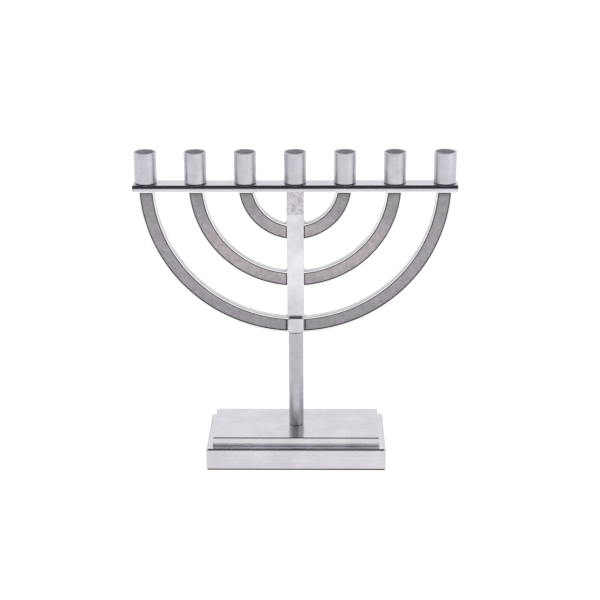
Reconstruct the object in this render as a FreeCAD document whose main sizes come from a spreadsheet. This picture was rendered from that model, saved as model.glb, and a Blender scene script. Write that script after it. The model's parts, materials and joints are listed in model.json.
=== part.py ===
import FreeCAD, Part
import os

import Sketcher

# Seven-branch table menorah in aluminium: a two-tier base, a round rod, one flat
# arch casting with three pairs of quarter-round branches, a flat top bar and seven
# turned candle cups.  Millimetres, +Z up, the bar runs along X and the decorated
# face looks towards -Y.  The origin is the middle of the base, on the table.

DIMENSIONS = {
    # candle cups
    "cup_pitch": 31.3,
    "cup_diameter": 14.0,
    "cup_height": 20.0,
    "cup_bore": 12.2,
    "cup_bore_depth": 16.0,
    "cup_rim_chamfer": 0.15,
    "cup_foot_chamfer": 0.15,
    "cup_foot_height": 0.4,
    "cup_foot_inset": 2.1,
    # screw inside each cup, which clamps the cup and the bar to the casting
    "cup_screw_diameter": 3.0,
    "cup_screw_length": 12.0,
    "cup_screw_head": 5.6,
    "cup_screw_head_height": 2.0,
    "cup_screw_tapped_depth": 7.0,
    # flat bar across the branch tips
    "bar_length": 204.0,
    "bar_depth": 15.5,
    "bar_thickness": 4.0,
    "bar_underside": 182.5,
    "bar_edge_radius": 2.8,
    "bar_end_radius": 0.4,
    # arch casting
    "arc_centre_rise": 3.0,
    "branch_width": 10.0,
    "branch_thickness": 5.0,
    "branch_edge_radius": 0.3,
    "panel_width": 8.1,
    "panel_recess": 0.6,
    "panel_draft": 0.3,
    "panel_end_margin": 2.1,
    "stem_width": 10.8,
    "junction_radius": 2.0,
    "boss_side": 10.3,
    "boss_height": 10.9,
    "boss_corner_radius": 1.8,
    "boss_face_radius": 1.0,
    # rod, with the stud at its top and the bolt and washer at its foot
    "rod_diameter": 9.6,
    "rod_chamfer": 0.3,
    "thread_diameter": 5.0,
    "thread_chamfer": 0.5,
    "stud_length": 16.0,
    "tapped_margin": 0.5,
    "bolt_length": 25.0,
    "bolt_head_height": 3.5,
    "bolt_head_flats": 8.0,
    "bolt_counterbore": 14.0,
    "bolt_counterbore_depth": 6.0,
    "washer_diameter": 10.0,
    "washer_thickness": 1.0,
    "hole_clearance": 0.4,
    # base blocks and the felt under them
    "felt_thickness": 1.0,
    "felt_inset": 0.5,
    "lower_length": 117.0,
    "lower_depth": 57.0,
    "lower_height": 14.0,
    "end_step": 4.0,
    "side_step": 5.0,
    "upper_height": 6.0,
    "lower_edge_radius": 1.5,
    "upper_edge_radius": 0.9,
    "block_foot_radius": 0.3,
    # two screws that stop the upper block turning on the lower one
    "block_screw_spacing": 76.0,
    "block_screw_diameter": 4.0,
    "block_screw_head": 7.5,
    "block_screw_length": 16.5,
    "block_screw_sink": 1.5,
    # screwdriver slots
    "slot_width": 0.9,
    "slot_depth": 0.8,
}

CUP_NAMES = (
    "candle_cup_left_outer",
    "candle_cup_left_middle",
    "candle_cup_left_inner",
    "candle_cup_centre",
    "candle_cup_right_inner",
    "candle_cup_right_middle",
    "candle_cup_right_outer",
)
BRANCH_PAIRS = 3

# heights above the table and other sizes that several pieces share
BLOCK_TOP = "(dims.felt_thickness + dims.lower_height + dims.upper_height)"
BAR_TOP = "(dims.bar_underside + dims.bar_thickness)"
ARC_CENTRE = "(dims.bar_underside + dims.arc_centre_rise)"
CASTING_BOTTOM = (
    f"({ARC_CENTRE} - {BRANCH_PAIRS} * dims.cup_pitch - dims.branch_width / 2)"
)
CUP_SEAT = "(dims.cup_height - dims.cup_bore_depth - dims.cup_screw_head_height - 0.2)"
BOLT_HEAD_SEAT = "(dims.felt_thickness + dims.bolt_counterbore_depth - dims.washer_thickness)"
FIRST_CUP = f"(-{(len(CUP_NAMES) - 1) // 2} * dims.cup_pitch)"

doc = FreeCAD.newDocument("menorah")
sheet = doc.addObject("Spreadsheet::Sheet", "dims")
for row, (alias, number) in enumerate(DIMENSIONS.items(), start=1):
    sheet.set(f"A{row}", alias)
    sheet.set(f"B{row}", str(number))
    sheet.setAlias(f"B{row}", alias)
doc.recompute()

nodes = []


def value(expression):
    """The number that an expression over the sheet's cells gives."""
    return float(sheet.evalExpression(str(expression)))


def place(item, x="0", y="0", z="0"):
    for axis, expression in zip("xyz", (x, y, z)):
        item.setExpression(f"Placement.Base.{axis}", expression)


def node(item, label):
    """Mark a document object as one piece of the object, under its own name."""
    item.Label = label
    nodes.append(item)
    return item


# ---------------------------------------------------------------- sketch helpers


def new_body(name):
    return doc.addObject("PartDesign::Body", name)


def new_sketch(body, name, role, height="0"):
    """A sketch on one of the body's own origin planes, raised along its normal."""
    plane = next(item for item in body.Origin.OriginFeatures if item.Role == role)
    sketch = body.newObject("Sketcher::SketchObject", name)
    sketch.AttachmentSupport = [(plane, "")]
    sketch.MapMode = "FlatFace"
    sketch.setExpression("AttachmentOffset.Base.z", height)
    return sketch


def pin_point(sketch, geometry, point, across, up):
    """Tie a sketch point to the origin with two dimensions from the sheet."""
    for kind, expression in (("DistanceX", across), ("DistanceY", up)):
        constraint = Sketcher.Constraint(kind, -1, 1, geometry, point, value(expression))
        index = sketch.addConstraint(constraint)
        sketch.setExpression(f"Constraints[{index}]", expression)


def outline(sketch, corners):
    """A closed outline of straight lines through corners given as expressions."""
    spots = [FreeCAD.Vector(value(across), value(up), 0) for across, up in corners]
    count = len(spots)
    for index in range(count):
        sketch.addGeometry(Part.LineSegment(spots[index], spots[(index + 1) % count]))
    for index in range(count):
        sketch.addConstraint(Sketcher.Constraint("Coincident", index, 2, (index + 1) % count, 1))
    for index, (across, up) in enumerate(corners):
        pin_point(sketch, index, 1, across, up)


def circle(sketch, diameter, across="0"):
    centre = FreeCAD.Vector(value(across), 0, 0)
    shape = Part.Circle(centre, FreeCAD.Vector(0, 0, 1), value(diameter) / 2)
    index = sketch.addGeometry(shape)
    pin_point(sketch, index, 3, across, "0")
    size = sketch.addConstraint(Sketcher.Constraint("Diameter", index, value(diameter)))
    sketch.setExpression(f"Constraints[{size}]", diameter)


def rectangle(sketch, length, depth):
    """A rectangle about the sketch's origin."""
    signs = ((-1, -1), (1, -1), (1, 1), (-1, 1))
    outline(sketch, [(f"{sx} * {length} / 2", f"{sy} * {depth} / 2") for sx, sy in signs])


def pad(body, sketch, name, length):
    feature = body.newObject("PartDesign::Pad", name)
    feature.Profile = sketch
    feature.setExpression("Length", length)
    doc.recompute()
    return feature


def pocket(body, sketch, name, depth, upwards):
    """Cut a sketch into the body, and make sure that it did cut something."""
    before = body.Shape.Volume
    feature = body.newObject("PartDesign::Pocket", name)
    feature.Profile = sketch
    feature.Reversed = upwards
    feature.setExpression("Length", depth)
    doc.recompute()
    if body.Shape.Volume >= before - 0.01:
        raise RuntimeError(f"{name} cuts nothing")
    return feature


def turned(body, name, corners):
    """Revolve an outline of (radius, height) corners about the body's Z axis."""
    sketch = new_sketch(body, f"{name}_profile", "XZ_Plane")
    outline(sketch, corners)
    feature = body.newObject("PartDesign::Revolution", name)
    feature.Profile = sketch
    feature.ReferenceAxis = (sketch, ["V_Axis"])
    feature.Angle = 360
    doc.recompute()
    return feature


def round_edges(body, name, feature, radius, wanted):
    """Fillet the edges of a feature that the function wanted picks out."""
    names = [f"Edge{i}" for i, edge in enumerate(feature.Shape.Edges, start=1) if wanted(edge)]
    fillet = body.newObject("PartDesign::Fillet", name)
    fillet.Base = (feature, names)
    fillet.setExpression("Radius", radius)
    doc.recompute()
    return fillet


def along(edge, axis):
    """True for a straight edge that runs along one axis (0, 1 or 2)."""
    if edge.Degenerated or not isinstance(edge.Curve, Part.Line):
        return False
    return abs(abs(edge.Curve.Direction[axis]) - 1) < 1e-6


def chamfer_circles(body, name, feature, radius, height, size):
    """Chamfer the round edges of one radius that lie at one height of a feature."""
    names = [
        f"Edge{i}"
        for i, edge in enumerate(feature.Shape.Edges, start=1)
        if not edge.Degenerated
        and isinstance(edge.Curve, Part.Circle)
        and abs(edge.Curve.Radius - value(radius)) < 0.01
        and abs(edge.CenterOfMass.z - value(height)) < 0.01
    ]
    chamfer = body.newObject("PartDesign::Chamfer", name)
    chamfer.Base = (feature, names)
    chamfer.setExpression("Size", size)
    doc.recompute()


def slot(body, name, height, upwards):
    """Screwdriver slot across a head, cut in from the plane at height."""
    sketch = new_sketch(body, f"{name}_outline", "XY_Plane", height)
    rectangle(sketch, "(2 * dims.block_screw_head)", "dims.slot_width")
    return pocket(body, sketch, name, "dims.slot_depth", upwards)


def repeat_along_bar(body, features, pitch, count):
    """Repeat features along X inside one body, as separate solids."""
    pattern = body.newObject("PartDesign::LinearPattern", f"{body.Name}_row")
    pattern.Originals = features
    pattern.Direction = (features[0].Profile[0], ["H_Axis"])
    pattern.Occurrences = count
    pattern.setExpression("Length", f"{count - 1} * {pitch}")
    body.Tip = pattern
    doc.recompute()
    if len(body.Shape.Solids) != count:
        raise RuntimeError(f"{body.Name} should be {count} separate solids")


# ---------------------------------------------------------------- the base


def base_felt():
    body = new_body("base_felt")
    sketch = new_sketch(body, "felt_outline", "XY_Plane")
    rectangle(
        sketch,
        "(dims.lower_length - 2 * dims.felt_inset)",
        "(dims.lower_depth - 2 * dims.felt_inset)",
    )
    pad(body, sketch, "felt_sheet", "dims.felt_thickness")
    node(body, "base_felt")


def base_block(name, length, depth, height, underside, edge_radius):
    """A rectangular block with rounded top and upright edges and a slightly eased foot."""
    body = new_body(name)
    place(body, z=underside)
    sketch = new_sketch(body, f"{name}_outline", "XY_Plane")
    rectangle(sketch, length, depth)
    block = pad(body, sketch, f"{name}_block", height)
    rounded = round_edges(
        body, f"{name}_edges", block, edge_radius, lambda edge: edge.CenterOfMass.z > 0.01
    )
    round_edges(
        body,
        f"{name}_foot",
        rounded,
        "dims.block_foot_radius",
        lambda edge: abs(edge.CenterOfMass.z) < 0.01,
    )
    sketch = new_sketch(body, f"{name}_bolt_circle", "XY_Plane")
    circle(sketch, "(dims.thread_diameter + dims.hole_clearance)")
    pocket(body, sketch, f"{name}_bolt_hole", height, True)
    return body


def screw_holes(body, name, diameter, depth):
    """The pair of holes for the screws that join the two blocks."""
    sketch = new_sketch(body, f"{name}_circles", "XY_Plane")
    for side in (-1, 1):
        circle(sketch, diameter, f"{side} * dims.block_screw_spacing / 2")
    return pocket(body, sketch, name, depth, True)


def base_lower_block():
    body = base_block(
        "base_lower_block",
        "dims.lower_length",
        "dims.lower_depth",
        "dims.lower_height",
        "dims.felt_thickness",
        "dims.lower_edge_radius",
    )
    sketch = new_sketch(body, "bolt_counterbore_circle", "XY_Plane")
    circle(sketch, "dims.bolt_counterbore")
    pocket(body, sketch, "bolt_counterbore", "dims.bolt_counterbore_depth", True)
    screw_holes(body, "block_screw_holes", "dims.block_screw_diameter", "dims.lower_height")
    sunk = screw_holes(
        body, "block_screw_counterbores", "dims.block_screw_head", "dims.block_screw_sink"
    )
    # the 45-degree seat for the countersunk heads starts at the counterbore's floor
    chamfer_circles(
        body,
        "block_screw_seats",
        sunk,
        "dims.block_screw_diameter / 2",
        "dims.block_screw_sink",
        "(dims.block_screw_head - dims.block_screw_diameter) / 2 - 0.01",
    )
    node(body, "base_lower_block")


def base_upper_block():
    body = base_block(
        "base_upper_block",
        "(dims.lower_length - 2 * dims.end_step)",
        "(dims.lower_depth - 2 * dims.side_step)",
        "dims.upper_height",
        "dims.felt_thickness + dims.lower_height",
        "dims.upper_edge_radius",
    )
    engaged = "(dims.block_screw_length + dims.block_screw_sink - dims.lower_height)"
    screw_holes(
        body, "tapped_holes", "dims.block_screw_diameter", f"{engaged} + dims.tapped_margin"
    )
    node(body, "base_upper_block")


def block_screws():
    """Two countersunk screws, heads down, from the lower block into the upper one."""
    body = new_body("block_screws")
    place(
        body,
        x="-dims.block_screw_spacing / 2",
        z="dims.felt_thickness + dims.block_screw_sink",
    )
    head = "dims.block_screw_head / 2"
    shank = "dims.block_screw_diameter / 2"
    length = "dims.block_screw_length"
    screw = turned(
        body,
        "block_screw",
        [
            ("0", "0"),
            (head, "0"),
            (shank, f"{head} - {shank}"),
            (shank, f"{length} - dims.thread_chamfer"),
            (f"{shank} - dims.thread_chamfer", length),
            ("0", length),
        ],
    )
    cut = slot(body, "block_screw_slot", "0", True)
    repeat_along_bar(body, [screw, cut], "dims.block_screw_spacing", 2)
    node(body, "block_screws")


def base_bolt():
    """Hexagon-headed bolt, head down, through both blocks into the rod."""
    body = new_body("base_bolt")
    place(body, z=f"{BOLT_HEAD_SEAT} - dims.bolt_head_height")
    sketch = new_sketch(body, "bolt_head_hexagon", "XY_Plane")
    corner = "dims.bolt_head_flats / sqrt(3)"
    angles = range(0, 360, 60)
    outline(sketch, [(f"{corner} * cos({a} deg)", f"{corner} * sin({a} deg)") for a in angles])
    pad(body, sketch, "bolt_head", "dims.bolt_head_height")
    sketch = new_sketch(body, "bolt_shank_circle", "XY_Plane")
    circle(sketch, "dims.thread_diameter")
    end = "dims.bolt_head_height + dims.bolt_length"
    shank = pad(body, sketch, "bolt_shank", end)
    chamfer_circles(
        body, "bolt_point", shank, "dims.thread_diameter / 2", end, "dims.thread_chamfer"
    )
    node(body, "base_bolt")


def base_washer():
    body = new_body("base_washer")
    place(body, z=BOLT_HEAD_SEAT)
    hole = "(dims.thread_diameter + dims.hole_clearance) / 2"
    edge = "dims.washer_diameter / 2"
    turned(
        body,
        "washer_ring",
        [(hole, "0"), (edge, "0"), (edge, "dims.washer_thickness"), (hole, "dims.washer_thickness")],
    )
    node(body, "base_washer")


# ---------------------------------------------------------------- the rod and its stud


def stem_rod():
    body = new_body("stem_rod")
    place(body, z=BLOCK_TOP)
    length = f"({CASTING_BOTTOM} - {BLOCK_TOP})"
    skin = "dims.rod_diameter / 2"
    hole = "dims.thread_diameter / 2"
    bolt_end = f"({BOLT_HEAD_SEAT} + dims.bolt_length - {BLOCK_TOP} + dims.tapped_margin)"
    stud_end = f"({length} - dims.stud_length / 2 - dims.tapped_margin)"
    turned(
        body,
        "rod",
        [
            (hole, "0"),
            (f"{skin} - dims.rod_chamfer", "0"),
            (skin, "dims.rod_chamfer"),
            (skin, f"{length} - dims.rod_chamfer"),
            (f"{skin} - dims.rod_chamfer", length),
            (hole, length),
            (hole, stud_end),
            ("0", stud_end),
            ("0", bolt_end),
            (hole, bolt_end),
        ],
    )
    node(body, "stem_rod")


def rod_stud():
    """Headless stud, half in the rod and half in the casting's boss."""
    body = new_body("rod_stud")
    place(body, z=f"{CASTING_BOTTOM} - dims.stud_length / 2")
    edge = "dims.thread_diameter / 2"
    taper = "dims.thread_chamfer"
    length = "dims.stud_length"
    turned(
        body,
        "stud",
        [
            ("0", "0"),
            (f"{edge} - {taper}", "0"),
            (edge, taper),
            (edge, f"{length} - {taper}"),
            (f"{edge} - {taper}", length),
            ("0", length),
        ],
    )
    node(body, "rod_stud")


# ---------------------------------------------------------------- the arch casting


def box(name, length, depth, height, x, y, z):
    item = doc.addObject("Part::Box", name)
    for side, expression in (("Length", length), ("Width", depth), ("Height", height)):
        item.setExpression(side, expression)
    place(item, x, y, z)
    return item


def disc(name, front_radius, back_radius, front, thickness):
    """A round slice about the branches' common centre, lying along Y.

    It starts at y = front and its radius may change from front to back."""
    item = doc.addObject("Part::Cone", name)
    item.setExpression("Radius1", front_radius)
    item.setExpression("Radius2", back_radius)
    item.setExpression("Height", thickness)
    item.Placement.Rotation = FreeCAD.Rotation(FreeCAD.Vector(1, 0, 0), -90)
    place(item, y=front, z=ARC_CENTRE)
    return item


def cylinder(name, diameter, height, x, y, z):
    item = doc.addObject("Part::Cylinder", name)
    item.setExpression("Radius", f"{diameter} / 2")
    item.setExpression("Height", height)
    place(item, x, y, z)
    return item


def cut(name, base, tool):
    item = doc.addObject("Part::Cut", name)
    item.Base = base
    item.Tool = tool
    return item


def fuse(name, shapes):
    item = doc.addObject("Part::MultiFuse", name)
    item.Shapes = shapes
    item.Refine = True
    return item


def straight_ring(name, radius, width, front, thickness):
    """A flat ring of plain section, width wide about its mean radius."""
    outside = f"{radius} + {width} / 2"
    inside = f"{radius} - {width} / 2"
    return cut(
        name,
        disc(f"{name}_outside", outside, outside, front, thickness),
        disc(f"{name}_inside", inside, inside, f"{front} - 1", f"{thickness} + 2"),
    )


def drafted_ring(name, radius, width, front, depth, draft):
    """A ring that narrows with depth by draft on each side, for a moulded recess.

    It stands one depth proud of the face, so that it cuts through cleanly."""
    reach = f"2 * {depth}"
    start = f"{front} - {depth}"
    return cut(
        name,
        disc(
            f"{name}_outside",
            f"{radius} + {width} / 2 + {draft}",
            f"{radius} + {width} / 2 - {draft}",
            start,
            reach,
        ),
        disc(
            f"{name}_inside",
            f"{radius} - {width} / 2 - {draft}",
            f"{radius} - {width} / 2 + {draft}",
            start,
            reach,
        ),
    )


def everything_above(name, height):
    """A block that holds all of the arch above a height."""
    return box(
        name,
        "2 * dims.bar_length",
        "4 * dims.bar_depth",
        "2 * dims.bar_length",
        "-dims.bar_length",
        "-2 * dims.bar_depth",
        height,
    )


def rounded(name, shape, radius, wanted):
    """Fillet the edges of a shape that the function wanted picks out."""
    doc.recompute()
    size = value(radius)
    chosen = [i for i, edge in enumerate(shape.Shape.Edges, start=1) if wanted(edge)]
    item = doc.addObject("Part::Fillet", name)
    item.Base = shape
    item.Edges = [(index, size, size) for index in chosen]
    return item


def on_flat_faces(edge, half_depth):
    """True for an edge that lies in the front or the back face."""
    box = edge.BoundBox
    return box.YLength < 0.01 and abs(abs(box.Center.y) - half_depth) < 0.01


def rounded_boss():
    """The square boss that takes the rod: rounded corners and softened faces."""
    side = "dims.boss_side"
    block = box(
        "boss_block",
        side,
        side,
        "dims.boss_height",
        f"-{side} / 2",
        f"-{side} / 2",
        CASTING_BOTTOM,
    )
    corners = rounded("boss_corners", block, "dims.boss_corner_radius", lambda e: along(e, 1))
    face = value(side) / 2
    return rounded("boss", corners, "dims.boss_face_radius", lambda e: on_flat_faces(e, face))


def is_junction(edge):
    """True for an edge where a branch meets the stem, clear of the boss and the bar."""
    middle = edge.CenterOfMass
    beside_stem = abs(abs(middle.x) - value("dims.stem_width / 2")) < 0.01
    lowest = value(f"{CASTING_BOTTOM} + dims.boss_height / 2")
    highest = value("dims.bar_underside") - 1
    return along(edge, 1) and beside_stem and lowest < middle.z < highest


def is_rim(edge):
    """True for an outline edge of the arch's two faces, except under the bar."""
    below_bar = edge.BoundBox.ZMin < value("dims.bar_underside") - 0.01
    return on_flat_faces(edge, value("dims.branch_thickness / 2")) and below_bar


def branch_casting():
    front = "-dims.branch_thickness / 2"
    rings = [
        straight_ring(
            f"branch_ring_{pair}",
            f"{pair} * dims.cup_pitch",
            "dims.branch_width",
            front,
            "dims.branch_thickness",
        )
        for pair in range(1, BRANCH_PAIRS + 1)
    ]
    branches = cut(
        "branches", fuse("branch_rings", rings), everything_above("over_bar", "dims.bar_underside")
    )
    stem_bottom = f"({CASTING_BOTTOM} + dims.branch_width / 2)"
    stem = box(
        "stem",
        "dims.stem_width",
        "dims.branch_thickness",
        f"dims.bar_underside - {stem_bottom}",
        "-dims.stem_width / 2",
        front,
        stem_bottom,
    )
    flat = fuse("flat_arch", [branches, stem])
    joined = rounded("arch_with_junctions", flat, "dims.junction_radius", is_junction)
    blended = rounded("arch_with_rims", joined, "dims.branch_edge_radius", is_rim)

    # sunk panels on the front of every branch, from the stem to just under the bar
    panels = fuse(
        "panel_rings",
        [
            drafted_ring(
                f"panel_ring_{pair}",
                f"{pair} * dims.cup_pitch",
                "dims.panel_width",
                front,
                "dims.panel_recess",
                "dims.panel_draft",
            )
            for pair in range(1, BRANCH_PAIRS + 1)
        ],
    )
    below_bar = cut(
        "panel_rings_below_bar",
        panels,
        everything_above("over_panels", "dims.bar_underside - dims.panel_end_margin"),
    )
    beside_stem = cut(
        "panel_cutters",
        below_bar,
        box(
            "stem_strip",
            "dims.stem_width",
            "4 * dims.branch_thickness",
            "2 * dims.bar_length",
            "-dims.stem_width / 2",
            "-2 * dims.branch_thickness",
            "0",
        ),
    )
    panelled = cut("panelled_arch", blended, beside_stem)

    tips = [
        cylinder(
            f"tip_hole_{position}",
            "dims.cup_screw_diameter",
            "dims.cup_screw_tapped_depth + 1",
            f"{position} * dims.cup_pitch",
            "0",
            "dims.bar_underside - dims.cup_screw_tapped_depth",
        )
        for position in range(-BRANCH_PAIRS, BRANCH_PAIRS + 1)
    ]
    stud_depth = "dims.stud_length / 2 + dims.tapped_margin"
    tips.append(
        cylinder(
            "boss_hole",
            "dims.thread_diameter",
            f"{stud_depth} + 1",
            "0",
            "0",
            f"{CASTING_BOTTOM} - 1",
        )
    )
    whole = fuse("arch_and_boss", [panelled, rounded_boss()])
    node(cut("branch_casting", whole, fuse("tapped_holes_of_arch", tips)), "branch_casting")


# ---------------------------------------------------------------- bar, cups and screws


def top_bar():
    body = new_body("top_bar")
    place(body, z="dims.bar_underside")
    sketch = new_sketch(body, "bar_outline", "XY_Plane")
    rectangle(sketch, "dims.bar_length", "dims.bar_depth")
    strip = pad(body, sketch, "bar_strip", "dims.bar_thickness")
    top = value("dims.bar_thickness")
    long_edges = round_edges(
        body,
        "bar_top_edges",
        strip,
        "dims.bar_edge_radius",
        lambda edge: along(edge, 0) and abs(edge.CenterOfMass.z - top) < 0.01,
    )
    end = value("dims.bar_length / 2")
    round_edges(
        body,
        "bar_ends",
        long_edges,
        "dims.bar_end_radius",
        lambda edge: abs(abs(edge.CenterOfMass.x) - end) < 0.01,
    )
    sketch = new_sketch(body, "bar_screw_circles", "XY_Plane")
    for position in range(-BRANCH_PAIRS, BRANCH_PAIRS + 1):
        circle(
            sketch,
            "(dims.cup_screw_diameter + dims.hole_clearance)",
            f"{position} * dims.cup_pitch",
        )
    pocket(body, sketch, "bar_screw_holes", "dims.bar_thickness", True)
    node(body, "top_bar")


def candle_cup(name, position):
    """A turned cup: a narrow foot, a straight wall and a bore with a sunk screw seat."""
    body = new_body(name)
    place(body, x=f"{position} * dims.cup_pitch", z=BAR_TOP)
    wall = "dims.cup_diameter / 2"
    bore = "dims.cup_bore / 2"
    rim = "dims.cup_rim_chamfer"
    top = "dims.cup_height"
    floor = f"({top} - dims.cup_bore_depth)"
    hole = "(dims.cup_screw_diameter + dims.hole_clearance) / 2"
    seat = "(dims.cup_screw_head + 0.6) / 2"
    turned(
        body,
        f"{name}_turning",
        [
            (hole, "0"),
            (f"{wall} - dims.cup_foot_inset", "0"),
            (f"{wall} - dims.cup_foot_inset", "dims.cup_foot_height"),
            (f"{wall} - dims.cup_foot_chamfer", "dims.cup_foot_height"),
            (wall, "dims.cup_foot_height + dims.cup_foot_chamfer"),
            (wall, f"{top} - {rim}"),
            (f"{wall} - {rim}", top),
            (f"{bore} + {rim}", top),
            (bore, f"{top} - {rim}"),
            (bore, floor),
            (seat, floor),
            (seat, CUP_SEAT),
            (hole, CUP_SEAT),
        ],
    )
    node(body, name)


def cup_screws():
    """Seven slotted pan-head screws, one down the middle of each cup."""
    body = new_body("cup_screws")
    place(body, x=FIRST_CUP, z=f"{BAR_TOP} + {CUP_SEAT}")
    head = "dims.cup_screw_head / 2"
    shank = "dims.cup_screw_diameter / 2"
    length = "dims.cup_screw_length"
    crown = "dims.cup_screw_head_height"
    screw = turned(
        body,
        "cup_screw",
        [
            ("0", f"-{length}"),
            (f"{shank} - dims.thread_chamfer", f"-{length}"),
            (shank, f"-{length} + dims.thread_chamfer"),
            (shank, "0"),
            (head, "0"),
            (head, f"0.6 * {crown}"),
            (f"0.7 * {head}", crown),
            ("0", crown),
        ],
    )
    groove = slot(body, "cup_screw_slot", crown, False)
    repeat_along_bar(body, [screw, groove], "dims.cup_pitch", len(CUP_NAMES))
    node(body, "cup_screws")


# ---------------------------------------------------------------- build, check, write

base_felt()
base_lower_block()
base_upper_block()
block_screws()
base_bolt()
base_washer()
stem_rod()
rod_stud()
branch_casting()
top_bar()
for place_in_row, cup_name in enumerate(CUP_NAMES):
    candle_cup(cup_name, place_in_row - BRANCH_PAIRS)
cup_screws()
doc.recompute()

for item in doc.Objects:
    if "Invalid" in item.State or "Error" in item.State:
        raise RuntimeError(f"{item.Label} failed: {item.State}")
for item in nodes:
    if item.Shape.isNull() or not item.Shape.isValid() or not item.Shape.Solids:
        raise RuntimeError(f"{item.Label} has no valid solid")

os.makedirs("parts", exist_ok=True)
for item in nodes:
    item.Shape.exportStep(f"parts/{item.Label}.step")
    size = item.Shape.BoundBox
    print(
        f"{item.Label}: {len(item.Shape.Solids)} solid(s), {item.Shape.Volume:.1f} mm3, "
        f"x {size.XMin:.2f}..{size.XMax:.2f}, y {size.YMin:.2f}..{size.YMax:.2f}, "
        f"z {size.ZMin:.2f}..{size.ZMax:.2f}"
    )
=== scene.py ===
import json
import math

import bpy
from mathutils import Matrix, Vector


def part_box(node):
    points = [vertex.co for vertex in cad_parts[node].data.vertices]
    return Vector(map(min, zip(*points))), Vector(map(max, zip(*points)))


# The looks of a seven-branch aluminium menorah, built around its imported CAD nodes.  Metres, +Z up,
# the bar runs along X and the panelled face of the arch looks towards -Y.

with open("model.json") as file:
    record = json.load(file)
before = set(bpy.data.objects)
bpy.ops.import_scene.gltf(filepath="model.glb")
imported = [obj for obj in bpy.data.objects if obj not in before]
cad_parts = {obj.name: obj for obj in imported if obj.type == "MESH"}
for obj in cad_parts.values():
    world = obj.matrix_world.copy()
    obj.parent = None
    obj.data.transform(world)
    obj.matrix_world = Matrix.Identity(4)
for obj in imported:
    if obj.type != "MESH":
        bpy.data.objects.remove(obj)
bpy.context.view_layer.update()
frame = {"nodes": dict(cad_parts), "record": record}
scene = bpy.context.scene

CUPS = [name for name in frame["nodes"] if name.startswith("candle_cup_")]
BASE_BLOCKS = ["base_lower_block", "base_upper_block"]
FASTENER_NODES = ["block_screws", "base_bolt", "base_washer", "rod_stud", "cup_screws"]

# sizes that the materials' patterns are drawn from, in metres
BAR_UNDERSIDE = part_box("top_bar")[0].z
CASTING_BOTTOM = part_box("branch_casting")[0].z
CUP_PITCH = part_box("candle_cup_right_inner")[0].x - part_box("candle_cup_centre")[0].x
BORE = next(mount for mount in frame["record"]["mounts"] if mount["kind"] == "bore")
BORE_RADIUS = BORE["dims"]["r_mm"] / 1000
BORE_FLOOR = BORE["pos_m"][2] - BORE["dims"]["length_mm"] / 2000
BRANCH_HALF_WIDTH = 0.005
ARC_CENTRE_HEIGHT = BAR_UNDERSIDE + 0.003
PANEL_HALF_WIDTH = 0.00405
PANEL_TOP = BAR_UNDERSIDE - 0.0021
STEM_HALF_WIDTH = 0.0054
BOSS_TOP = CASTING_BOTTOM + 0.0109
CASTING_FRONT = -0.0025
BACK_OF_PANELS = CASTING_FRONT + 0.0010

# between which heights, or distances from the middle, the painted light, shade and dark reflections on
# the arch change, in metres
PANEL_LIGHTENS = (0.098, 0.134)
PANEL_DARKENS = (0.154, 0.174)
PANEL_SIDES = (0.048, 0.068)
STEM_BRIGHTENS = (0.100, 0.124)
STEM_UPPER_SHADE = (0.135, 0.152)
DARK_REFLECTION_BOTTOM = BAR_UNDERSIDE - 0.0165

# widths of the painted shade line round the panels, in metres
OUTER_LINE = 0.00055
INNER_LINE = 0.00075
TOP_LINE = 0.00075
STEM_LINE = 0.00065
BOSS_LINE = 0.0011

# how far a painted edge fades to either side of its place, in metres
SHARP = 0.0001
SOFT = 0.00015

BRANCH_PAIRS = 3.0

# how much light the turned pieces give back
CUP_TONE = 0.57
ROD_TONE = 0.49

# a noise texture seldom leaves this range
NOISE_LOW = 0.3
NOISE_HIGH = 0.7


# ---------------------------------------------------------------- shader helpers


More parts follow.
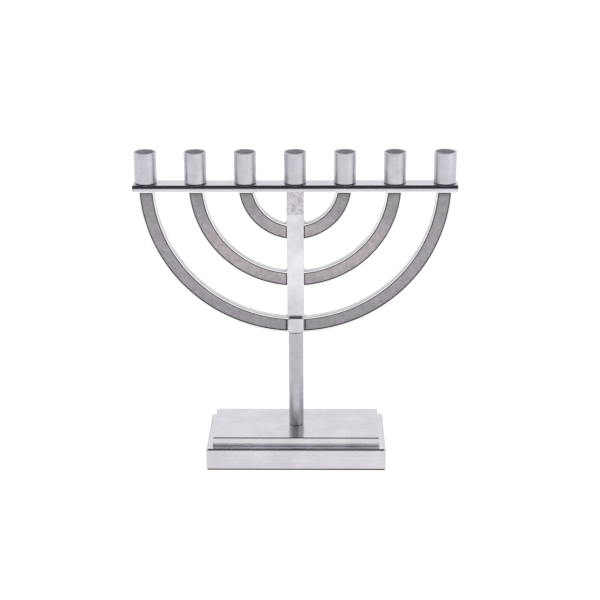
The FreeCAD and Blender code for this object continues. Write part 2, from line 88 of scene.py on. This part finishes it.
class Shader:
    """Adds nodes to one node tree, with numbers or other nodes' outputs as inputs."""

    def __init__(self, tree):
        self.tree = tree

    def node(self, kind, inputs=None, **settings):
        made = self.tree.nodes.new(kind)
        for name, setting in settings.items():
            setattr(made, name, setting)
        for key, source in (inputs or {}).items():
            if isinstance(source, bpy.types.NodeSocket):
                self.tree.links.new(source, made.inputs[key])
            else:
                made.inputs[key].default_value = source
        return made

    def math(self, operation, first, second=0.0):
        made = self.node("ShaderNodeMath", {0: first, 1: second}, operation=operation)
        return made.outputs[0]

    def plus(self, first, second):
        return self.math("ADD", first, second)

    def minus(self, first, second):
        return self.math("SUBTRACT", first, second)

    def times(self, first, second):
        return self.math("MULTIPLY", first, second)

    def larger(self, first, second):
        return self.math("MAXIMUM", first, second)

    def length(self, first, second):
        """The length of the vector (first, second)."""
        return self.math("SQRT", self.plus(self.times(first, first), self.times(second, second)))

    def weighted(self, first, second, share):
        """The given share of first, and the rest of second."""
        return self.plus(self.times(first, share), self.times(second, 1.0 - share))

    def ramp(self, value, low, high, out_low=0.0, out_high=1.0):
        """A smooth change from out_low to out_high as value goes from low to high."""
        made = self.node(
            "ShaderNodeMapRange",
            {"Value": value, "From Min": low, "From Max": high, "To Min": out_low, "To Max": out_high},
            interpolation_type="SMOOTHSTEP",
        )
        return made.outputs["Result"]

    def above(self, value, edge, softness):
        """1 where value is past the edge, 0 before it."""
        return self.ramp(value, edge - softness, edge + softness)

    def below(self, value, edge, softness):
        """1 where value is before the edge, 0 past it."""
        return self.ramp(value, edge - softness, edge + softness, 1.0, 0.0)

    def spread(self, noise, out_low=0.0, out_high=1.0):
        """A noise stretched to the whole range from out_low to out_high."""
        return self.ramp(noise, NOISE_LOW, NOISE_HIGH, out_low, out_high)

    def noise(self, vector, scale, detail=3.0, roughness=0.55, distortion=0.0):
        made = self.node(
            "ShaderNodeTexNoise",
            {
                "Vector": vector,
                "Scale": scale,
                "Detail": detail,
                "Roughness": roughness,
                "Distortion": distortion,
            },
        )
        return made.outputs["Fac"]

    def place_in_object(self):
        """The surface point in metres, in the object's own frame."""
        return self.node("ShaderNodeTexCoord").outputs["Object"]

    def coordinates(self, vector):
        return tuple(self.node("ShaderNodeSeparateXYZ", {0: vector}).outputs)

    def stretched(self, vector, factors):
        made = self.node("ShaderNodeVectorMath", {0: vector, 1: factors}, operation="MULTIPLY")
        return made.outputs["Vector"]

    def mix(self, factor, first, second):
        """A color between first and second."""
        made = self.node(
            "ShaderNodeMix", {"Factor": factor, "A": first, "B": second}, data_type="RGBA"
        )
        return made.outputs["Result"]

    def between(self, factor, first, second):
        """A number between first and second."""
        made = self.node(
            "ShaderNodeMix", {"Factor": factor, "A": first, "B": second}, data_type="FLOAT"
        )
        return made.outputs[0]

    def bump(self, height, distance):
        made = self.node("ShaderNodeBump", {"Height": height, "Distance": distance, "Strength": 1.0})
        return made.outputs["Normal"]


def rgb(red, green, blue):
    return (red, green, blue, 1.0)


def new_material(name):
    """A material with one Principled shader; returns it, its helper and the shader node."""
    material = bpy.data.materials.new(name)
    material.use_nodes = True
    tree = material.node_tree
    return material, Shader(tree), tree.nodes["Principled BSDF"]


def set_inputs(shader, target, **values):
    for name, source in values.items():
        socket = target.inputs[name.replace("_", " ")]
        if isinstance(source, bpy.types.NodeSocket):
            shader.tree.links.new(source, socket)
        else:
            socket.default_value = source


# ---------------------------------------------------------------- blocks, bar, rod and cups


def polished_aluminium(name, dullest, shiniest):
    """Hand-polished flat faces: lines along X, slight waves, cloudy patches and faint marks."""
    material, s, surface = new_material(name)
    place = s.place_in_object()
    lines = s.noise(s.stretched(place, (30.0, 900.0, 900.0)), scale=1.0, detail=2.0)
    clouds = s.noise(place, scale=55.0, roughness=0.6)
    waves = s.noise(place, scale=28.0, detail=1.0)
    specks = s.noise(place, scale=300.0, detail=4.0, roughness=0.7, distortion=0.8)
    tone = s.weighted(clouds, lines, 0.7)
    color = s.mix(s.spread(tone), rgb(0.59, 0.57, 0.605), rgb(0.69, 0.665, 0.705))
    marks = s.ramp(specks, 0.60, 0.70, 0.0, 0.35)
    shallow_lines = s.times(lines, 0.08)
    set_inputs(
        s,
        surface,
        Base_Color=s.mix(marks, color, rgb(0.50, 0.46, 0.50)),
        Metallic=1.0,
        Roughness=s.spread(tone, dullest, shiniest),
        Normal=s.bump(s.plus(shallow_lines, waves), 0.0001),
    )
    return material


def turned_finish(s, place, tone_of_metal):
    """Fine rings round Z under a satin skin: returns the rings, the tone and the color."""
    rings = s.noise(s.stretched(place, (40.0, 40.0, 4000.0)), scale=1.0, detail=2.0)
    clouds = s.noise(place, scale=140.0, roughness=0.6)
    tone = s.spread(s.weighted(clouds, rings, 0.6))
    dark, light = 0.93 * tone_of_metal, 1.07 * tone_of_metal
    color = s.mix(
        tone,
        rgb(dark, 0.98 * dark, 1.07 * dark),
        rgb(light, 0.98 * light, 1.06 * light),
    )
    return rings, tone, color


def satin_roughness(s, tone):
    return s.ramp(tone, 0.0, 1.0, 0.40, 0.30)


def satin_rod():
    """The turned rod between the base and the arch."""
    material, s, surface = new_material("satin_aluminium_rod")
    rings, tone, color = turned_finish(s, s.place_in_object(), ROD_TONE)
    set_inputs(
        s,
        surface,
        Base_Color=color,
        Metallic=1.0,
        Roughness=satin_roughness(s, tone),
        Normal=s.bump(rings, 0.00002),
    )
    return material


def inside_a_cup(s, place):
    """1 on the wall and the floor of a cup's bore, 0 on the rest of the cup."""
    x, y, z = s.coordinates(place)
    nearest_axis = s.times(s.math("ROUND", s.math("DIVIDE", x, CUP_PITCH)), CUP_PITCH)
    from_axis = s.length(s.minus(x, nearest_axis), y)
    in_bore = s.below(from_axis, BORE_RADIUS + 2 * SHARP, SHARP)
    above_floor = s.above(z, BORE_FLOOR - 3 * SHARP, SHARP)
    return s.times(in_bore, above_floor)


def satin_cups():
    """The turned candle cups, with dull grey bores."""
    material, s, surface = new_material("satin_aluminium")
    place = s.place_in_object()
    rings, tone, color = turned_finish(s, place, CUP_TONE)
    bore = inside_a_cup(s, place)
    bore_color = s.mix(tone, rgb(0.44, 0.43, 0.47), rgb(0.60, 0.585, 0.63))
    bore_roughness = s.times(bore, 0.6)
    set_inputs(
        s,
        surface,
        Base_Color=s.mix(bore, color, bore_color),
        Metallic=s.ramp(bore, 0.0, 1.0, 1.0, 0.3),
        Roughness=s.larger(satin_roughness(s, tone), bore_roughness),
        Normal=s.bump(rings, 0.00002),
    )
    return material


# ---------------------------------------------------------------- the arch


class ArchPoint:
    """Where a surface point lies on the arch, as shader values in metres."""

    def __init__(self, s):
        self.place = s.place_in_object()
        x, self.y, self.z = s.coordinates(self.place)
        self.from_middle = s.math("ABSOLUTE", x)
        radius = s.length(x, s.minus(self.z, ARC_CENTRE_HEIGHT))
        pitches = s.math("DIVIDE", radius, CUP_PITCH)
        nearest_branch = s.larger(s.math("MINIMUM", s.math("ROUND", pitches), BRANCH_PAIRS), 1.0)
        # outwards from the middle line of the nearest branch
        self.offset = s.times(s.minus(pitches, nearest_branch), CUP_PITCH)
        self.past_stem = s.above(self.from_middle, STEM_HALF_WIDTH, SHARP)


def sunk_panel(s, point):
    """1 on the sunk panels of the branches, 0 on the rims, the stem and the boss."""
    in_width = s.below(s.math("ABSOLUTE", point.offset), PANEL_HALF_WIDTH, SHARP)
    below_top = s.below(point.z, PANEL_TOP, SHARP)
    at_front = s.below(point.y, BACK_OF_PANELS, 2 * SHARP)
    return s.times(s.times(in_width, point.past_stem), s.times(below_top, at_front))


def panel_edge_shade(s, point):
    """1 on the painted shade along the edges of the panels, beside their sides, the stem and the boss,
    and under the bar.
    """
    outer_side = s.above(point.offset, PANEL_HALF_WIDTH - OUTER_LINE, SOFT)
    inner_side = s.below(point.offset, INNER_LINE - PANEL_HALF_WIDTH, SOFT)
    beside_stem = s.below(point.from_middle, STEM_HALF_WIDTH + STEM_LINE, SOFT)
    beside_boss = s.times(
        s.below(point.from_middle, STEM_HALF_WIDTH + BOSS_LINE, 3 * SHARP),
        s.below(point.z, BOSS_TOP + SHARP, SHARP),
    )
    under_bar = s.above(point.z, PANEL_TOP - TOP_LINE, SOFT)
    sides = s.larger(outer_side, inner_side)
    ends = s.larger(s.larger(beside_stem, beside_boss), under_bar)
    return s.larger(sides, ends)


def panel_color(s, point, grain):
    """As-cast grey, with painted light at mid height, a painted shadow close under the bar, and a
    painted shade line round the edges.
    """
    mottle = s.noise(point.place, scale=330.0, roughness=0.6)
    sandy = s.spread(s.weighted(grain, mottle, 0.6))
    # dark and light are a shaded and a lit copy of the as-cast grey; mixing them by height paints
    # light at mid height, less towards the sides
    dark = s.mix(sandy, rgb(0.29, 0.275, 0.295), rgb(0.47, 0.445, 0.475))
    light = s.mix(sandy, rgb(0.38, 0.355, 0.375), rgb(0.62, 0.575, 0.61))
    lit_mid_height = s.times(
        s.ramp(point.z, *PANEL_LIGHTENS), s.ramp(point.z, *PANEL_DARKENS, 1.0, 0.0)
    )
    less_lit_at_sides = s.ramp(point.from_middle, *PANEL_SIDES, 1.0, 0.35)
    color = s.mix(s.times(lit_mid_height, less_lit_at_sides), dark, light)
    # painted shadow of the bar over the tops of the panels
    bar_shadow = s.ramp(point.z, PANEL_TOP - 0.0040, PANEL_TOP - 0.0006, 0.0, 0.35)
    color = s.mix(bar_shadow, color, rgb(0.10, 0.09, 0.11))
    # painted shade line round the edges of each panel
    return s.mix(panel_edge_shade(s, point), color, rgb(0.075, 0.067, 0.083))


def rim_color(s, point, cloudy):
    """The bright polished rims of the branches, with a painted dark reflection on the arris inside
    each curve.
    """
    color = s.mix(cloudy, rgb(0.84, 0.83, 0.85), rgb(0.94, 0.93, 0.94))
    # painted dark reflection on the rounded inner edge of each rim
    arris_dark_reflection = s.times(
        s.below(point.offset, 2 * SHARP - BRANCH_HALF_WIDTH, SHARP),
        s.below(point.y, CASTING_FRONT + 4 * SHARP, SHARP),
    )
    return s.mix(arris_dark_reflection, color, rgb(0.42, 0.40, 0.43))


def stem_color(s, point, cloudy):
    """The stem's face: a lit and a shaded copy of its colour, painting light below its middle and
    shade at the foot and the upper part, with a mottled painted dark reflection at the top.
    """
    # painted light and shade on the stem: a lit copy of its colour and a shaded one, mixed by height
    bright = s.mix(cloudy, rgb(0.70, 0.68, 0.72), rgb(0.80, 0.78, 0.82))
    shaded_stem = s.mix(cloudy, rgb(0.56, 0.54, 0.58), rgb(0.66, 0.635, 0.68))
    foot_shade = s.ramp(point.z, *STEM_BRIGHTENS, 1.0, 0.0)
    upper_shade = s.ramp(point.z, *STEM_UPPER_SHADE, 0.0, 0.45)
    color = s.mix(s.larger(foot_shade, upper_shade), bright, shaded_stem)

    # painted dark reflection on the top of the boss
    boss_top_dark_reflection = s.times(
        s.above(point.z, BOSS_TOP - 5 * SHARP, SHARP),
        s.below(point.y, CASTING_FRONT - SOFT, SHARP / 2),
    )
    color = s.mix(boss_top_dark_reflection, color, rgb(0.34, 0.32, 0.35))

    # painted dark reflection, mottled, over the top of the stem below the bar
    stem_top_dark_reflection = s.noise(point.place, scale=420.0, detail=4.0, roughness=0.65, distortion=0.6)
    stem_top_reflection_color = s.mix(s.ramp(stem_top_dark_reflection, 0.35, 0.65), rgb(0.44, 0.41, 0.46), rgb(0.66, 0.63, 0.68))
    return s.mix(s.above(point.z, DARK_REFLECTION_BOTTOM, 4 * SHARP), color, stem_top_reflection_color)


def cast_aluminium():
    """The arch: polished rims and stem face, with sunk panels left grainy, and painted light, shade
    and dark reflections on the panels, rims and stem.
    """
    material, s, surface = new_material("cast_aluminium")
    point = ArchPoint(s)
    panel = sunk_panel(s, point)
    grain = s.noise(point.place, scale=3200.0, roughness=0.7)
    clouds = s.noise(point.place, scale=90.0, roughness=0.6)
    cloudy = s.spread(clouds)

    front_color = s.mix(point.past_stem, stem_color(s, point, cloudy), rim_color(s, point, cloudy))
    body_color = s.mix(cloudy, rgb(0.58, 0.565, 0.595), rgb(0.72, 0.70, 0.73))
    on_front = s.below(point.y, CASTING_FRONT + 5.5 * SHARP, SOFT)
    color = s.mix(on_front, body_color, front_color)
    set_inputs(
        s,
        surface,
        Base_Color=s.mix(panel, color, panel_color(s, point, grain)),
        Metallic=1.0,
        Roughness=s.between(panel, s.spread(clouds, 0.26, 0.18), 0.55),
        Normal=s.bump(s.times(grain, panel), 0.00008),
    )
    return material


# ---------------------------------------------------------------- fasteners and felt


def zinc_steel():
    """Zinc-plated screws, bolt, washer and stud."""
    material, s, surface = new_material("zinc_steel")
    spangle = s.noise(s.place_in_object(), scale=500.0, roughness=0.6)
    set_inputs(
        s,
        surface,
        Base_Color=s.mix(s.spread(spangle), rgb(0.48, 0.48, 0.50), rgb(0.62, 0.62, 0.64)),
        Metallic=1.0,
        Roughness=s.spread(spangle, 0.42, 0.30),
        Normal=s.bump(spangle, 0.00002),
    )
    return material


def black_felt():
    """Black felt under the base, with short fibres."""
    material, s, surface = new_material("black_felt")
    fibres = s.noise(s.place_in_object(), scale=2500.0, detail=4.0, roughness=0.7, distortion=1.0)
    set_inputs(
        s,
        surface,
        Base_Color=s.mix(s.spread(fibres), rgb(0.012, 0.012, 0.014), rgb(0.040, 0.040, 0.045)),
        Roughness=s.spread(fibres, 0.98, 0.88),
        Normal=s.bump(fibres, 0.0002),
    )
    return material


def dress(names, material):
    for name in names:
        data = frame["nodes"][name].data
        data.materials.clear()
        data.materials.append(material)


# ---------------------------------------------------------------- studio


def white_floor():
    """A large plain floor, lit from within, so the object stands on white with hardly a shadow."""
    half = 4.0
    corners = [(-half, -half, 0), (half, -half, 0), (half, half, 0), (-half, half, 0)]
    mesh = bpy.data.meshes.new("floor")
    mesh.from_pydata(corners, [], [(0, 1, 2, 3)])
    floor = bpy.data.objects.new("floor", mesh)
    scene.collection.objects.link(floor)
    material, s, surface = new_material("floor_white")
    set_inputs(
        s,
        surface,
        Base_Color=rgb(0.12, 0.12, 0.12),
        Roughness=0.9,
        Specular_IOR_Level=0.0,
        Emission_Color=rgb(1.0, 1.0, 1.0),
        Emission_Strength=0.92,
    )
    mesh.materials.append(material)


def studio_sky():
    """A white sweep behind the object, grey walls beside it, and a dark room in front and above.

    The camera itself sees white all round.
    """
    world = bpy.data.worlds.new("studio")
    world.use_nodes = True
    scene.world = world
    s = Shader(world.node_tree)
    direction = s.node("ShaderNodeTexCoord").outputs["Generated"]
    across, depth, height = s.coordinates(direction)

    sweep = s.ramp(height, 0.20, 0.60, 0.92, 1.15)
    backdrop = s.times(sweep, s.ramp(height, 0.84, 0.92, 1.0, 0.05))
    beside = s.ramp(s.math("ABSOLUTE", across), 0.30, 0.60, 0.0, 0.62)
    side_walls = s.times(beside, s.ramp(height, 0.58, 0.72, 1.0, 0.0))
    low_front = s.ramp(height, 0.36, 0.44, 0.30, 0.05)
    room = s.larger(low_front, side_walls)
    brightness = s.between(s.ramp(depth, -0.1, 0.3), room, backdrop)
    seen_by_camera = s.node("ShaderNodeLightPath").outputs["Is Camera Ray"]
    brightness = s.larger(brightness, seen_by_camera)

    bluish = s.plus(brightness, 0.014)
    color = s.node("ShaderNodeCombineColor", {0: brightness, 1: brightness, 2: bluish})
    background = world.node_tree.nodes["Background"]
    set_inputs(s, background, Color=color.outputs[0], Strength=1.0)


def area_light(name, place, target, size, power, in_reflections=True):
    data = bpy.data.lights.new(name, "AREA")
    data.shape = "RECTANGLE"
    data.size, data.size_y = size
    data.energy = power
    lamp = bpy.data.objects.new(name, data)
    lamp.location = place
    lamp.visible_camera = False
    lamp.visible_glossy = in_reflections
    lamp.rotation_euler = (Vector(target) - Vector(place)).to_track_quat("-Z", "Y").to_euler()
    scene.collection.objects.link(lamp)


def studio_lights():
    """Soft light from above, a low card in front that lifts the ledge, and one at the right."""
    area_light(
        "overhead",
        place=(0, 0, 2.5),
        target=(0, 0, 0),
        size=(3.0, 3.0),
        power=88.0,
        in_reflections=False,
    )
    area_light(
        "right_front", place=(0.9, -0.65, 0.30), target=(0, 0, 0.1), size=(0.9, 0.9), power=1.2
    )
    area_light(
        "front_card", place=(0, -0.45, 0.21), target=(0, 0, 0.02), size=(0.5, 0.06), power=0.10
    )


def camera():
    """The viewpoint: a little above the cups, looking slightly down, almost square on."""
    place = Vector((0.01599, -0.88433, 0.42782))
    yaw, pitch, roll = 0.015, -0.347, -0.005
    forward = Vector(
        (
            -math.sin(yaw) * math.cos(pitch),
            math.cos(yaw) * math.cos(pitch),
            math.sin(pitch),
        )
    )
    right = Vector((forward.y, -forward.x, 0)).normalized()
    up = right.cross(forward)
    turned_right = math.cos(roll) * right + math.sin(roll) * up
    turned_up = -math.sin(roll) * right + math.cos(roll) * up
    axes = Matrix((turned_right, turned_up, -forward)).transposed()
    data = bpy.data.cameras.new("camera")
    data.lens = 87.28
    data.sensor_width = 36.0
    data.clip_start = 0.01
    eye = bpy.data.objects.new("camera", data)
    eye.matrix_world = Matrix.Translation(place) @ axes.to_4x4()
    scene.collection.objects.link(eye)
    scene.camera = eye


dress(BASE_BLOCKS, polished_aluminium("polished_aluminium", dullest=0.20, shiniest=0.14))
dress(["top_bar"], polished_aluminium("polished_aluminium_bar", dullest=0.12, shiniest=0.08))
dress(CUPS, satin_cups())
dress(["stem_rod"], satin_rod())
dress(["branch_casting"], cast_aluminium())
dress(FASTENER_NODES, zinc_steel())
dress(["base_felt"], black_felt())

white_floor()
studio_sky()
studio_lights()
camera()
scene.view_settings.view_transform = "Standard"
